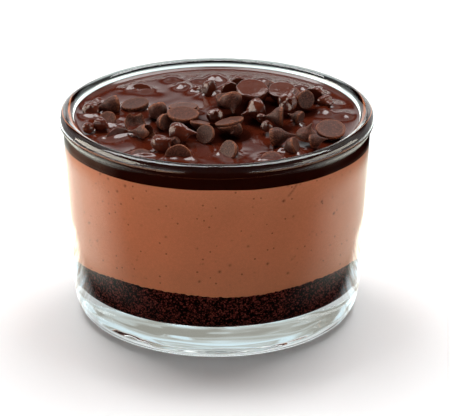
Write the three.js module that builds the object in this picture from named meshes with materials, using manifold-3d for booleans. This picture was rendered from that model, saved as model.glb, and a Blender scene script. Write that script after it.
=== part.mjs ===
import * as THREE from "three";
import { mergeVertices } from "three/addons/utils/BufferGeometryUtils.js";
import Module from "manifold-3d";

// Chocolate mousse in a small thick-based glass pot. Millimetres, +Z up, origin under the middle
// of the foot. From the bottom up the glass holds cake crumb, milk chocolate mousse, and a layer
// of dark sauce with chocolate chips standing and sinking in it.

// Glass pot
const RIM_RADIUS = 40.0;
const RIM_TOP = 53.4;
const BEAD_RADIUS = 1.9;
const BEAD_TURN = 60;
const BEAD_MIDDLE = RIM_RADIUS - BEAD_RADIUS;
const BEAD_HEIGHT = RIM_TOP - BEAD_RADIUS;
const FOOT_RADIUS = 33.6;
const HEEL_RADIUS = 36.95;
const HEEL_HEIGHT = 7.4;
const PUNT_RADIUS = 26.0;
const PUNT_DEPTH = 1.0;
const FLOOR_HEIGHT = 8.2;
const FLOOR_CORNER = 3.5;
const INNER_TOP_RADIUS = BEAD_MIDDLE - BEAD_RADIUS;
const INNER_LOW_RADIUS = 34.4;
const INNER_LOW_HEIGHT = FLOOR_HEIGHT + FLOOR_CORNER;

// Contents
const CLEARANCE = 0.3;
const CRUMB_TOP = 17.9;
const MOUSSE_TOP = 46.0;
const SAUCE_EDGE = 51.8;
const SAUCE_LEVEL = 51.35;
const MENISCUS_WIDTH = 1.2;

// Where the sauce lies thicker under heaped chips.
const MOUNDS = [
  { x: 10.0, y: 3.0, rise: 2.8, spread: 10.5 },
  { x: -7.0, y: -8.0, rise: 1.2, spread: 9.0 },
  { x: 20.0, y: -17.0, rise: 0.6, spread: 8.0 },
];

// Fineness
const SEGMENTS = 60;
const CHIP_SIDES = 9;
const LAYER_SHARES = [1.0, 0.8, 0.5, 0.0];
const SAUCE_SHARES = [1.0, 0.98, 0.94, 0.87, 0.79, 0.7, 0.61, 0.52, 0.43, 0.33, 0.22, 0.11, 0.0];

// Half outline of a chip, as fractions of its base radius and of its length.
const CHIP_OUTLINE = [
  [0.0, 0.0],
  [0.96, 0.0],
  [1.0, 0.14],
  [0.82, 0.45],
  [0.42, 0.74],
  [0.0, 1.0],
];

// Chips: x, y and height of the middle of the flat base, the height counted from where the sauce
// meets the glass; heading of the tip, counted from +X, and its climb, in degrees; diameter of
// the base; length from base to tip; and how far the tip curls over, as a part of the length.
const DRY_CHIPS = [
  // Left of the heap
  [-21.0, 6.5, 1.6, 15, -85, 7.0, 4.2, 0],
  [-20.5, -7.0, 0.6, 120, -75, 5.8, 3.6, 0],
  [-17.5, -15.5, 1.6, 150, -30, 3.4, 5.2, 0],
  [-27.5, -7.5, 0.8, 125, 0, 4.6, 4.0, 0],
  [-15.0, -1.0, 2.4, -110, -10, 5.6, 4.6, 0.1],
  [-12.5, -11.0, 1.6, 135, -10, 3.6, 4.0, 0],
  [-8.5, -9.5, 4.2, 110, -85, 7.8, 4.6, 0],
  [-8.5, -1.5, 3.4, -80, -75, 7.4, 3.6, 0],
  [-4.0, -12.5, 3.0, -125, -80, 5.0, 3.4, 0],
  [-4.0, -18.5, 2.2, 10, -50, 6.0, 3.2, 0],
  // Along the front
  [-18.5, -26.5, -0.8, 95, -65, 5.6, 3.4, 0],
  [-9.5, -28.5, 0.0, 85, -50, 6.8, 4.0, 0],
  [-10.5, -20.0, 0.4, -80, 45, 2.8, 2.2, 0],
  [2.0, -27.5, 0.8, 30, -50, 5.8, 4.6, 0],
  [13.5, -29.0, -0.8, 90, -60, 5.6, 3.6, 0],
  // Heap
  [3.5, 1.0, 4.2, -80, -35, 5.6, 4.8, 0],
  [3.0, -12.0, 3.0, -35, -75, 7.2, 3.0, 0],
  [3.0, -13.0, 2.2, -50, -75, 6.0, 2.6, 0],
  [4.5, -13.5, 1.6, -110, -10, 4.2, 3.0, 0],
  [16.5, -8.0, 2.4, 175, 0, 5.0, 4.6, 0],
  [17.5, 2.0, 3.0, -65, 50, 3.6, 2.4, 0],
  [22.5, 3.5, 2.6, 110, -15, 5.0, 5.0, 0],
  [21.0, -7.5, 1.2, 85, 15, 4.2, 3.2, 0],
  // Behind the heap
  [-7.5, 4.0, 0.4, 90, -85, 6.0, 3.6, 0],
  [3.0, 8.0, 1.4, 150, -80, 6.6, 4.0, 0],
  [8.0, 13.0, 0.8, 60, 40, 5.6, 4.4, 0],
  [13.5, 16.0, 0.4, -150, 30, 5.4, 4.2, 0],
  [18.5, 14.0, 0.8, 100, -75, 6.2, 4.0, 0],
  // Right of the heap
  [13.5, -19.5, 1.4, -10, 15, 4.6, 6.2, 0.12],
  [19.5, -24.0, 1.4, 165, -25, 4.4, 4.6, 0],
  [22.0, -18.0, 0.6, -20, 80, 5.4, 4.4, 0.2],
  [28.3, -14.8, 2.0, 95, -70, 7.2, 4.0, 0],
  [24.0, -20.5, 1.2, -15, 20, 3.6, 4.4, 0.1],
];
const COATED_CHIPS = [
  // Left of the heap
  [-27.0, 3.0, 1.2, 135, 35, 6.0, 2.6, 0],
  [-30.0, 5.0, 0.2, -80, 55, 5.0, 2.0, 0],
  [-32.0, 3.0, 0.2, -95, 55, 4.6, 2.0, 0],
  [-27.0, -13.5, 0.6, 130, 20, 3.8, 4.8, 0],
  [-32.0, -10.5, 0.2, -90, 60, 3.0, 2.2, 0],
  [-23.0, -18.0, 0.2, 50, -75, 6.6, 3.6, 0],
  [-14.0, -22.5, 0.4, -40, 50, 5.4, 4.6, 0.25],
  [-10.5, -17.0, 1.4, -25, 20, 5.4, 6.6, 0.2],
  // Heap
  [-0.5, -5.5, 1.6, -80, 50, 4.2, 2.8, 0],
  [11.0, -2.5, 2.6, -150, 5, 5.0, 4.6, 0],
  [9.0, 6.0, 5.2, 120, -80, 8.2, 3.6, 0],
  [16.5, 8.5, 3.8, 160, -75, 7.0, 3.4, 0],
  [17.5, 1.0, 1.8, -85, 60, 4.0, 2.0, 0],
  [11.0, -6.5, 1.4, -55, 35, 2.6, 2.2, 0],
  [12.5, -11.0, 0.8, -75, 55, 3.2, 2.6, 0],
  // Right of the heap
  [25.0, 12.5, 0.4, 80, 60, 4.6, 2.2, 0],
  [27.0, 9.0, 0.6, -70, 55, 3.8, 2.0, 0],
  [29.5, 11.5, -0.6, 75, 70, 4.4, 1.6, 0],
  [32.0, -3.0, 0.2, 95, -65, 4.4, 2.4, 0],
  // Behind the heap
  [21.5, 15.5, 0.3, 85, 60, 5.0, 2.2, 0],
  [12.0, 22.5, 0.2, 90, 70, 5.4, 2.2, 0],
  [5.5, 24.0, 0.0, 75, 70, 5.0, 2.2, 0],
  [3.5, 15.5, 0.8, 90, 50, 4.8, 2.6, 0],
  [0.5, 24.0, 0.2, 85, 65, 5.0, 2.2, 0],
  [-3.0, 15.0, 0.9, 125, -5, 5.0, 3.4, 0],
  [-10.5, 18.5, 0.5, 75, 15, 5.4, 3.2, 0],
  [-5.5, 27.5, -0.5, 90, 75, 5.0, 1.8, 0],
  [-12.0, 26.5, -0.5, 90, 75, 5.0, 1.8, 0],
  [-15.0, 22.5, -0.4, 90, 75, 4.4, 1.8, 0],
  [-21.0, 19.5, -0.8, 90, 80, 6.6, 2.0, 0],
];

const wasm = await Module();
wasm.setup();

// Points on an arc of a circle or ellipse in the radius and height plane, both ends included.
function arc(radius, height, halfWidth, halfHeight, from, to, steps) {
  const points = [];
  for (let i = 0; i <= steps; i += 1) {
    const angle = THREE.MathUtils.degToRad(THREE.MathUtils.lerp(from, to, i / steps));
    points.push([radius + halfWidth * Math.cos(angle), height + halfHeight * Math.sin(angle)]);
  }
  return points;
}

// Radius of the glass's inner wall at a height above the floor's corner.
function innerRadius(height) {
  const share = (height - INNER_LOW_HEIGHT) / (BEAD_HEIGHT - INNER_LOW_HEIGHT);
  return THREE.MathUtils.lerp(INNER_LOW_RADIUS, INNER_TOP_RADIUS, share);
}

// Revolves a profile of [radius, height] points about Z. A third entry is a relief, a function
// of x and y that is added to the height of the ring.
function revolve(profile, segments) {
  const outline = profile.map(([radius, height]) => new THREE.Vector2(radius, height));
  const geometry = new THREE.LatheGeometry(outline, segments);
  geometry.rotateX(Math.PI / 2);
  const position = geometry.getAttribute("position");
  for (let i = 0; i < position.count; i += 1) {
    const relief = profile[i % profile.length][2];
    if (relief) {
      position.setZ(i, position.getZ(i) + relief(position.getX(i), position.getY(i)));
    }
  }
  return geometry;
}

// Shares vertices between faces and drops the faces that a lathe's poles leave flat.
function weld(geometry) {
  geometry.deleteAttribute("normal");
  geometry.deleteAttribute("uv");
  const welded = mergeVertices(geometry);
  const corners = welded.getIndex().array;
  const kept = [];
  for (let i = 0; i < corners.length; i += 3) {
    const [a, b, c] = corners.slice(i, i + 3);
    if (a !== b && b !== c && c !== a) {
      kept.push(a, b, c);
    }
  }
  welded.setIndex(kept);
  return welded;
}

function toSolid(geometry) {
  const welded = weld(geometry);
  const vertProperties = new Float32Array(welded.getAttribute("position").array);
  const triVerts = new Uint32Array(welded.getIndex().array);
  return new wasm.Manifold(new wasm.Mesh({ numProp: 3, vertProperties, triVerts }));
}

function toGeometry(solid) {
  const mesh = solid.getMesh();
  const geometry = new THREE.BufferGeometry();
  geometry.setAttribute("position", new THREE.BufferAttribute(mesh.vertProperties, 3));
  geometry.setIndex(new THREE.BufferAttribute(mesh.triVerts, 1));
  return geometry;
}

// Crumb's top: broken into low lumps, so its edge against the glass is ragged.
function crumbRelief(x, y) {
  const turn = Math.atan2(y, x);
  const edge = 0.32 * Math.sin(7 * turn + 0.6) + 0.2 * Math.sin(13 * turn + 2.1);
  const lumps = 0.35 * Math.sin(0.42 * x + 1.3) * Math.sin(0.38 * y + 0.4);
  const share = Math.hypot(x, y) / INNER_LOW_RADIUS;
  return edge * share + lumps * (1 - share);
}

// Mousse's top: spooned nearly level.
function mousseRelief(x, y) {
  const turn = Math.atan2(y, x);
  const share = Math.hypot(x, y) / INNER_TOP_RADIUS;
  return share * (0.12 * Math.sin(5 * turn + 0.9) + 0.06 * Math.sin(11 * turn + 0.3));
}

// Sauce's top: a film climbs the glass, and the sauce swells over its mounds.
function sauceRelief(x, y) {
  const fromGlass = INNER_TOP_RADIUS - Math.hypot(x, y);
  let height = (SAUCE_EDGE - SAUCE_LEVEL) * Math.exp(-fromGlass / MENISCUS_WIDTH);
  for (const mound of MOUNDS) {
    const distance = Math.hypot(x - mound.x, y - mound.y) / mound.spread;
    height += mound.rise * Math.exp(-distance * distance);
  }
  return height;
}

// Rings of a surface, from its edge to the axis.
function surfaceRings(edgeRadius, height, relief, shares) {
  return shares.map((share) => [edgeRadius * share, height, relief]);
}

function glassPot() {
  const punt = arc(0, 0, PUNT_RADIUS, PUNT_DEPTH, 90, 0, 3);
  const heel = arc(FOOT_RADIUS, HEEL_HEIGHT, HEEL_RADIUS - FOOT_RADIUS, HEEL_HEIGHT, -90, 0, 5);
  const bead = arc(BEAD_MIDDLE, BEAD_HEIGHT, BEAD_RADIUS, BEAD_RADIUS, -BEAD_TURN, 180, 8);
  const cornerMiddle = INNER_LOW_RADIUS - FLOOR_CORNER;
  const corner = arc(cornerMiddle, INNER_LOW_HEIGHT, FLOOR_CORNER, FLOOR_CORNER, 0, -90, 3);
  return revolve([...punt, ...heel, ...bead, ...corner, [0, FLOOR_HEIGHT]], SEGMENTS);
}

function crumbBase() {
  const cornerMiddle = INNER_LOW_RADIUS - FLOOR_CORNER;
  const width = FLOOR_CORNER - CLEARANCE;
  const corner = arc(cornerMiddle, INNER_LOW_HEIGHT, width, width, -90, 0, 3);
  const edge = innerRadius(CRUMB_TOP) - CLEARANCE;
  const top = surfaceRings(edge, CRUMB_TOP, crumbRelief, LAYER_SHARES);
  return revolve([[0, FLOOR_HEIGHT + CLEARANCE], ...corner, ...top], SEGMENTS);
}

function mousse() {
  const lowEdge = innerRadius(CRUMB_TOP) - CLEARANCE;
  const highEdge = innerRadius(MOUSSE_TOP) - CLEARANCE;
  const bottom = surfaceRings(lowEdge, CRUMB_TOP + CLEARANCE, crumbRelief, LAYER_SHARES);
  const top = surfaceRings(highEdge, MOUSSE_TOP, mousseRelief, LAYER_SHARES);
  return revolve([...bottom.reverse(), ...top], SEGMENTS);
}

function sauceLayer() {
  const lowEdge = innerRadius(MOUSSE_TOP) - CLEARANCE;
  const highEdge = innerRadius(SAUCE_LEVEL) - CLEARANCE;
  const bottom = surfaceRings(lowEdge, MOUSSE_TOP + CLEARANCE, mousseRelief, LAYER_SHARES);
  const top = surfaceRings(highEdge, SAUCE_LEVEL, sauceRelief, SAUCE_SHARES);
  return revolve([...bottom.reverse(), ...top], SEGMENTS);
}

function chip([x, y, lift, heading, climb, diameter, length, curl]) {
  const profile = CHIP_OUTLINE.map(([wide, high]) => [wide * diameter / 2, high * length]);
  const geometry = revolve(profile, CHIP_SIDES);
  const position = geometry.getAttribute("position");
  for (let i = 0; i < position.count; i += 1) {
    const bend = curl * length * (position.getZ(i) / length) ** 3;
    position.setX(i, position.getX(i) + bend);
  }
  geometry.rotateY(THREE.MathUtils.degToRad(90 - climb));
  geometry.rotateZ(THREE.MathUtils.degToRad(heading));
  geometry.translate(x, y, SAUCE_EDGE + lift);
  return geometry;
}

// The sauce with every chip fused to it, kept clear of the glass.
function sauceWithChips() {
  let solid = toSolid(sauceLayer());
  for (const row of [...DRY_CHIPS, ...COATED_CHIPS]) {
    solid = solid.add(toSolid(chip(row)));
  }
  return toGeometry(solid);
}

function addPiece(group, name, geometry, colour, roughness) {
  const material = new THREE.MeshStandardMaterial({ color: colour, roughness, metalness: 0 });
  const mesh = new THREE.Mesh(geometry, material);
  mesh.name = name;
  group.add(mesh);
}

const dessert = new THREE.Group();
addPiece(dessert, "glass_pot", weld(glassPot()), "#dfe9ea", 0.05);
addPiece(dessert, "crumb_base", weld(crumbBase()), "#2f1a12", 0.9);
addPiece(dessert, "mousse", weld(mousse()), "#8a5640", 0.7);
addPiece(dessert, "chocolate_sauce", sauceWithChips(), "#3a1812", 0.25);

export default dessert;
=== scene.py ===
"""Chocolate mousse in a small thick-based glass pot.

The pot holds cake crumb, milk chocolate mousse and a layer of dark sauce with chocolate chips
standing and sinking in it. Shape functions work in millimetres with +Z up and the origin under
the middle of the foot, and make_piece turns them into metres.
"""

import functools
import itertools
import math

import bpy
import numpy as np
from mathutils import Euler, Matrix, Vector


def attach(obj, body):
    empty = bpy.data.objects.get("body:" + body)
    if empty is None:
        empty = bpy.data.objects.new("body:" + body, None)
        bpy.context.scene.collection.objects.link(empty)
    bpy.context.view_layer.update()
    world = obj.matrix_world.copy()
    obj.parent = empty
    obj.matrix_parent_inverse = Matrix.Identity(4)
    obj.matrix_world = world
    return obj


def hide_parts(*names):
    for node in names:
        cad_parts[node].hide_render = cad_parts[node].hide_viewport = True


bl_info = {
    "name": "Chocolate mousse pot",
    "version": (1, 0, 0),
    "blender": (4, 5, 0),
    "location": "3D View > Sidebar > Dessert",
    "description": "Builds a layered chocolate mousse dessert in its glass pot",
    "category": "Add Mesh",
}

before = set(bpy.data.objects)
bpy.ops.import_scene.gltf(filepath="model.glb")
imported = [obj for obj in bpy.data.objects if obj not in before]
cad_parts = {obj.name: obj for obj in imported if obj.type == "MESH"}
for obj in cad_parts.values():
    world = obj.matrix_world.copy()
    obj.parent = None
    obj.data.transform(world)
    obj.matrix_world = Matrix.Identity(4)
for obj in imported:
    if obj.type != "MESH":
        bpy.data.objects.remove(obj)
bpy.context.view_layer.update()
MM = 0.001

# Chips: x, y and height of the middle of the flat base, the height counted from where the sauce
# meets the glass; heading of the tip, counted from +X, and its climb, in degrees; diameter of
# the base; length from base to tip; and how far the tip curls over, as a part of the length.
DRY_CHIPS = [
    # Left of the heap
    (-21.0, 6.5, 0.8, 10, -80, 7.3, 4.2, 0),
    (-25.3, 4.6, 1.3, 200, -4, 4.4, 6.2, 0),
    (-27.8, -4.2, 0.2, 70, -45, 4.8, 3.6, 0),
    (-15.2, -0.6, 2.1, -70, -35, 5.0, 5.0, 0.1),
    (-12.6, -9.6, 1.5, 135, -15, 4.4, 4.2, 0),
    (-8.5, -7.6, 3.4, 110, -84, 7.8, 3.6, 0),
    (-8.5, 0.5, 2.2, -80, -83, 7.4, 2.8, 0),
    (-4.2, -11.5, 2.4, -125, -75, 5.2, 2.6, 0),
    (-3.0, -17.8, 1.6, 55, -25, 5.0, 3.6, 0),
    # Along the front
    (-18.5, -26.5, -0.8, 95, -65, 5.6, 3.4, 0),
    (-9.5, -28.3, -0.4, 88, -12, 6.4, 4.0, 0),
    (-10.5, -20.0, 0.4, -80, 45, 2.8, 2.2, 0),
    (2.5, -26.7, 0.8, 40, -28, 5.4, 4.4, 0),
    (13.5, -29.0, -0.8, 90, -60, 5.6, 3.6, 0),
    # Heap
    (3.5, 1.0, 4.2, -80, -35, 5.6, 4.8, 0),
    (3.0, -12.0, 3.0, -35, -75, 7.2, 3.0, 0),
    (3.0, -13.0, 2.2, -50, -75, 6.0, 2.6, 0),
    (4.5, -13.5, 1.6, -110, -10, 4.2, 3.0, 0),
    (16.5, -8.0, 2.4, 175, 0, 5.0, 4.6, 0),
    (22.8, 3.3, 2.7, 115, -15, 4.8, 5.0, 0),
    (21.2, -5.0, 0.7, 150, 10, 3.8, 4.0, 0),
    # Behind the heap
    (-7.5, 4.0, 0.4, 90, -85, 6.0, 3.6, 0),
    (3.0, 8.0, 1.4, 150, -80, 6.6, 4.0, 0),
    (8.0, 13.0, 0.8, 60, 40, 5.6, 4.4, 0),
    (13.5, 16.0, 0.4, -150, 30, 5.4, 4.2, 0),
    (18.5, 14.0, 0.8, 100, -75, 6.2, 4.0, 0),
    # Right of the heap
    (13.5, -19.5, 1.4, -10, 15, 4.6, 6.2, 0.12),
    (19.5, -24.0, 1.1, 165, -25, 4.4, 4.6, 0),
    (22.0, -18.0, 0.6, -20, 80, 5.4, 4.4, 0.2),
    (28.3, -14.8, 2.0, 95, -70, 7.2, 4.0, 0),
    (23.2, -21.2, 0.9, -15, 20, 3.6, 4.4, 0.1),
]
# The same for chips that broke open, so that their bases are hollow.
HOLLOW_CHIPS = [
    (-20.5, -8.0, 0.8, 100, -62, 5.8, 3.2, 0),
    (-17.2, -15.2, 1.2, 152, -10, 3.8, 5.6, 0),
]
# The same for chips under sauce.
COATED_CHIPS = [
    # Left of the heap
    (-30.0, 5.0, 0.2, -80, 55, 5.0, 2.0, 0),
    (-32.0, 3.0, 0.2, -95, 55, 4.6, 2.0, 0),
    (-29.6, -8.8, 1.0, -40, -5, 3.8, 4.4, 0),
    (-24.2, -14.0, -2.5, 116, -15, 8.2, 4.0, 0),
    (-32.0, -10.5, 0.2, -90, 60, 3.0, 2.2, 0),
    (-14.0, -22.5, 0.4, -40, 50, 5.4, 4.6, 0.25),
    (-10.5, -17.0, 1.4, -25, 20, 5.4, 6.6, 0.2),
    # Heap
    (-0.5, -5.5, 1.6, -80, 50, 4.2, 2.8, 0),
    (11.2, -2.4, 2.5, -155, -8, 5.8, 5.6, 0),
    (18.0, 2.4, 2.5, -75, 35, 5.2, 3.2, 0),
    (10.0, 9.0, 2.4, -90, 20, 6.0, 4.0, 0),
    (9.0, 6.0, 5.1, 100, -78, 8.4, 5.2, 0),
    (16.5, 8.5, 3.8, 75, -76, 7.0, 4.6, 0),
    (17.5, 1.0, 1.8, -85, 60, 4.0, 2.0, 0),
    (11.0, -6.5, 1.4, -55, 35, 2.6, 2.2, 0),
    (12.5, -11.0, 0.8, -75, 55, 3.2, 2.6, 0),
    # Right of the heap
    (25.3, 10.5, 0.8, 60, 25, 5.6, 4.0, 0),
    (27.6, 7.6, 0.3, -60, 10, 4.4, 3.4, 0),
    # Behind the heap
    (6.0, 18.5, 0.7, 75, 15, 5.6, 3.8, 0),
    (3.5, 14.5, 0.8, 110, 5, 5.0, 3.8, 0),
    (-1.0, 16.4, 0.9, 150, -12, 4.6, 5.4, 0),
    (-20.3, 18.8, -2.2, 75, -35, 7.4, 2.6, 0),
]
# How far the tops of the crumb and of the mousse are from level at the glass: the angle counted
# from the front, positive to the right, and the height.
CRUMB_EDGE = [
    (-140, -0.4), (-110, -1.6), (-85, -2.4), (-72, -2.2), (-63, -1.4), (-55, -0.7), (-46, 0.0),
    (-33, 0.2), (-20, 0.0), (-8, -0.3), (5, -0.7), (20, -0.65), (30, -0.25), (45, -0.05),
    (55, -0.3), (69, -1.1), (78, -2.4), (95, -1.8), (130, -0.3), (180, 0.2),
]
MOUSSE_EDGE = [
    (-150, 0.1), (-100, -0.3), (-72, -0.2), (-60, 0.15), (-45, 0.3), (-28, 0.45), (-10, 0.55),
    (2, 0.7), (14, 0.35), (28, 0.25), (42, 0.1), (55, 0.0), (69, -0.4), (80, -0.8), (100, -0.4),
    (150, 0.2),
]
# Dark marks on the mousse against the glass, bubbles and then a smear of sauce: angle from the
# front, height, width and depth. The bubbles' dark is painted shade in their hollows.
MOUSSE_MARKS = [
    (26, 42.0, 0.33, 1.0), (44, 39.1, 0.32, 0.9), (51.5, 34.4, 0.32, 0.9), (30.5, 37.3, 0.3, 0.5),
    (-50, 45.5, 0.29, 0.9), (-45.5, 45.1, 0.3, 0.7), (-37, 44.6, 0.31, 0.9),
    (-41, 42.5, 0.29, 0.8), (-7, 21.6, 0.29, 0.8), (1, 24.4, 0.31, 0.9), (20, 25.6, 0.29, 0.9),
    (29, 22.0, 0.3, 0.7), (5, 26.1, 0.3, 0.6), (-20, 33.0, 0.26, 0.6), (12, 31.0, 0.28, 0.6),
    (-60, 30.0, 0.3, 0.6),
    # The smear
    (31.5, 46.0, 0.34, 0.7), (31.0, 45.4, 0.32, 0.6), (30.3, 44.8, 0.3, 0.55),
    (29.6, 44.2, 0.3, 0.5), (28.9, 43.7, 0.3, 0.5), (28.2, 43.2, 0.3, 0.5),
    (33.0, 45.6, 0.3, 0.45), (27.6, 45.8, 0.3, 0.45),
]
# Where the sauce lies thicker under heaped chips: x, y, rise and spread.
MOUNDS = [(10.0, 7.5, 1.5, 8.0), (-7.0, -7.5, 0.9, 7.0)]
# Lumps where the sauce covers a chip: x, y, rise and half width.
LUMPS = [
    (26.9, 3.6, 1.0, 2.6), (32.0, 1.2, 0.9, 2.6), (30.2, 9.0, 0.6, 2.0), (-11.8, 28.3, 0.8, 2.2),
    (-8.9, 22.6, 1.1, 2.2), (-0.4, 28.5, 1.3, 2.6), (-5.2, 26.6, 0.7, 2.0), (-4.8, 20.5, 0.9, 2.2),
    (21.8, 21.0, 1.0, 2.4), (26.3, 16.6, 1.0, 2.3), (11.9, 26.2, 1.1, 2.2), (5.6, 25.6, 1.0, 2.2),
    (17.0, 24.0, 0.8, 2.2), (2.1, 21.4, 0.9, 2.0), (-31.6, 8.4, 0.8, 2.2),
]

# Fineness: points along a profile, and around it. The mousse has one count for each of its
# straight runs, and the sauce one for its underside and side and one for its open top.
POT_STEPS, POT_AROUND = 170, 288
CRUMB_STEPS, CRUMB_AROUND = 110, 640
MOUSSE_STEPS, MOUSSE_AROUND = (12, 104, 14), 720
SAUCE_STEPS, SAUCE_AROUND = (40, 150), 512
CHIP_STEPS, CHIP_AROUND = 26, 40


# Sizes and colours


def length(name, default, description):
    """A length whose default is given in millimetres."""
    return bpy.props.FloatProperty(
        name=name, default=default * MM, description=description, unit="LENGTH", precision=5
    )


def colour(name, default, description):
    """A colour with its three parts from 0 to 1."""
    return bpy.props.FloatVectorProperty(
        name=name, default=default, description=description, subtype="COLOR", size=3, min=0, max=1
    )


def brightness(name, default, of_what):
    """A strength of light, of nothing or more."""
    text = f"Brightness of {of_what}"
    return bpy.props.FloatProperty(name=name, default=default, description=text, min=0)


class PotSettings(bpy.types.PropertyGroup):
    """Sizes and tint of the glass."""

    rim_radius: length("Rim radius", 40.0, "Outer radius of the rolled rim")
    rim_top: length("Rim height", 53.4, "Height of the top of the rim")
    bead_radius: length("Bead radius", 1.9, "Radius of the rolled rim's round section")
    foot_radius: length("Foot radius", 33.6, "Radius of the flat that the pot stands on")
    heel_radius: length("Heel radius", 36.95, "Outer radius where the wall starts")
    heel_height: length("Heel height", 7.4, "Height where the wall starts")
    punt_radius: length("Punt radius", 26.0, "Radius of the hollow under the foot")
    punt_depth: length("Punt depth", 0.8, "Depth of the hollow under the foot")
    floor_height: length("Floor height", 8.2, "Thickness of the glass under the crumb")
    floor_corner: length("Floor corner", 3.5, "Radius between floor and inner wall")
    inner_low_radius: length("Inner radius, low", 34.4, "Inner wall's radius above the corner")
    waviness: length("Waviness", 0.035, "How far the pressed glass wanders from true")
    ripple: length("Ripple", 0.008, "Height of the ripples under the foot and at the heel")
    tint: colour("Tint", (0.93, 0.985, 0.985), "Colour that the glass gives to light")


class LayerSettings(bpy.types.PropertyGroup):
    """Crumb and mousse."""

    crumb_top: length("Crumb top", 17.9, "Height of the crumb's top")
    mousse_top: length("Mousse top", 46.0, "Height of the mousse's top")
    reach: length("Reach", 0.15, "How far a filling reaches into the glass")
    grain: length("Crumb grain", 0.95, "Width of a cake crumb")
    grain_depth: length("Crumb relief", 0.3, "Depth between crumbs")
    crumb_dark: colour("Crumb, dark", (0.005, 0.0012, 0.001), "Crumb in its shadows")
    crumb_light: colour("Crumb, light", (0.34, 0.078, 0.064), "Crumb's reddest grains")
    mousse_colour: colour("Mousse", (0.71, 0.283, 0.153), "Mousse colour")
    # Also the colour of the pores: painted shade in the bubbles' hollows.
    speck_and_pore_shade: colour("Specks", (0.10, 0.030, 0.018), "Chocolate specks and pores")


class SauceSettings(bpy.types.PropertyGroup):
    """Sauce and chips."""

    edge: length("Sauce edge", 51.8, "Height where the sauce meets the glass")
    level: length("Sauce level", 51.0, "Height of the open sauce between the chips")
    film: length("Film width", 0.8, "How far from the glass the sauce climbs")
    sauce_colour: colour("Sauce", (0.074, 0.0105, 0.0038), "Sauce colour")
    # Painted shade: the sauce's colour in the gaps between heaped chips, which also lose their
    # gloss.
    sauce_painted_shade: colour("Deep sauce", (0.020, 0.0035, 0.0018), "Sauce seen against the glass")
    sauce_thin: colour("Thin sauce", (0.100, 0.018, 0.007), "Sauce where it is thin and lit")
    chip_colour: colour("Chip", (0.120, 0.040, 0.025), "Dry chip colour")
    # Lighter rim of a chip's base: partly wear, partly a painted highlight where the edge catches
    # light.
    chip_rim_wear_and_highlight: colour("Chip edge", (0.42, 0.135, 0.060), "Rubbed edges of a chip")
    coat_colour: colour("Coated chip", (0.100, 0.021, 0.010), "Sauce over a chip")


class StageSettings(bpy.types.PropertyGroup):
    """Floor and lights."""

    floor_colour: colour("Floor", (0.94, 0.931, 0.934), "Floor colour")
    studio: brightness("Studio", 1.0, "the pale studio all round")
    overhead: brightness("Overhead lights", 8.4, "the two overhead softboxes")
    card_colour: colour("Cards", (0.94, 0.96, 0.84), "Colour of the cards beside the foot")
    outer_colour: colour("Outer cards", (1.0, 0.56, 0.38), "Colour of the cards further out")
    beside: brightness("Side strips", 4.5, "the two low strip lights")
    gloss: brightness("Gloss lights", 7.5, "the softboxes seen only in gloss")
    gloss_colour: colour("Gloss colour", (1.0, 0.93, 0.80), "Colour of those softboxes")
    walls: brightness("Walls", 0.7, "the walls to the left and right")
    bounce: brightness("Bounce cards", 1.85, "the cards beside the pot's foot")


def millimetres(settings, *names):
    """The named length properties, in millimetres."""
    return [getattr(settings, name) / MM for name in names]


def share(value):
    """The value held between 0 and 1."""
    return np.clip(value, 0, 1)


# Profiles


def arc(radius, height, half_width, half_height, start, stop, steps=64):
    """Points (radius, height) on an ellipse: its middle plus its half widths times the cosine
    and sine of an angle that runs evenly from start to stop, in degrees."""
    angle = np.radians(np.linspace(start, stop, steps))
    return np.stack([radius + half_width * np.cos(angle), height + half_height * np.sin(angle)], 1)


def sample(profile, measure, count):
    """count points of the profile, at even steps of a measure that grows along it."""
    at = np.linspace(0, measure[-1], count)
    return np.stack([np.interp(at, measure, profile[:, k]) for k in (0, 1)], 1)


def soften(profile, width, step=0.05):
    """The profile with its corners rounded: each point becomes the average of its neighbours
    along the line, weighted by a bell curve of that width, out to four times the width. Past its
    two ends the line goes on as its own point reflection, so they stay in place."""
    along = np.concatenate([[0], np.cumsum(np.hypot(*np.diff(profile, axis=0).T))])
    line = sample(profile, along, max(2, round(along[-1] / step)))
    reach = int(4 * width / step)
    bell = np.exp(-0.5 * (np.arange(-reach, reach + 1) * step / width) ** 2)
    bell /= bell.sum()
    mirrored = [2 * line[:1] - line[reach:0:-1], line, 2 * line[-1:] - line[-2 : -reach - 2 : -1]]
    padded = np.concatenate(mirrored)
    return np.stack([np.convolve(padded[:, k], bell, "valid") for k in (0, 1)], 1)


def spread(profile, count, bend=6.0):
    """count points of the profile, closer together where it turns: they are at even steps of
    the distance walked plus bend millimetres for each radian turned."""
    steps = np.diff(profile, axis=0)
    heading = np.unwrap(np.arctan2(steps[:, 1], steps[:, 0]))
    bends = np.concatenate([[0], np.abs(np.diff(heading))])
    measure = np.concatenate([[0], np.cumsum(np.hypot(*steps.T) + bend * bends)])
    return sample(profile, measure, count)


def legs(corners, counts):
    """Straight runs between the corners, each with its own count of even steps."""
    runs = [
        np.linspace(start, stop, count, endpoint=False)
        for start, stop, count in zip(corners, corners[1:], counts)
    ]
    return np.concatenate([*runs, corners[-1:]])


# Irregularities


def drift(points, wavelength, seed, waves=10):
    """A smooth random field of about -1 to 1: the sum of plane waves of one length whose
    directions and phases are drawn from the seed."""
    draw = np.random.default_rng(seed)
    heading = draw.normal(size=(waves, points.shape[-1]))
    heading *= 2 * np.pi / wavelength / np.linalg.norm(heading, axis=1, keepdims=True)
    phase = draw.uniform(0, 2 * np.pi, waves)
    return np.sin(points @ heading.T + phase).sum(-1) / math.sqrt(waves)


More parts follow.
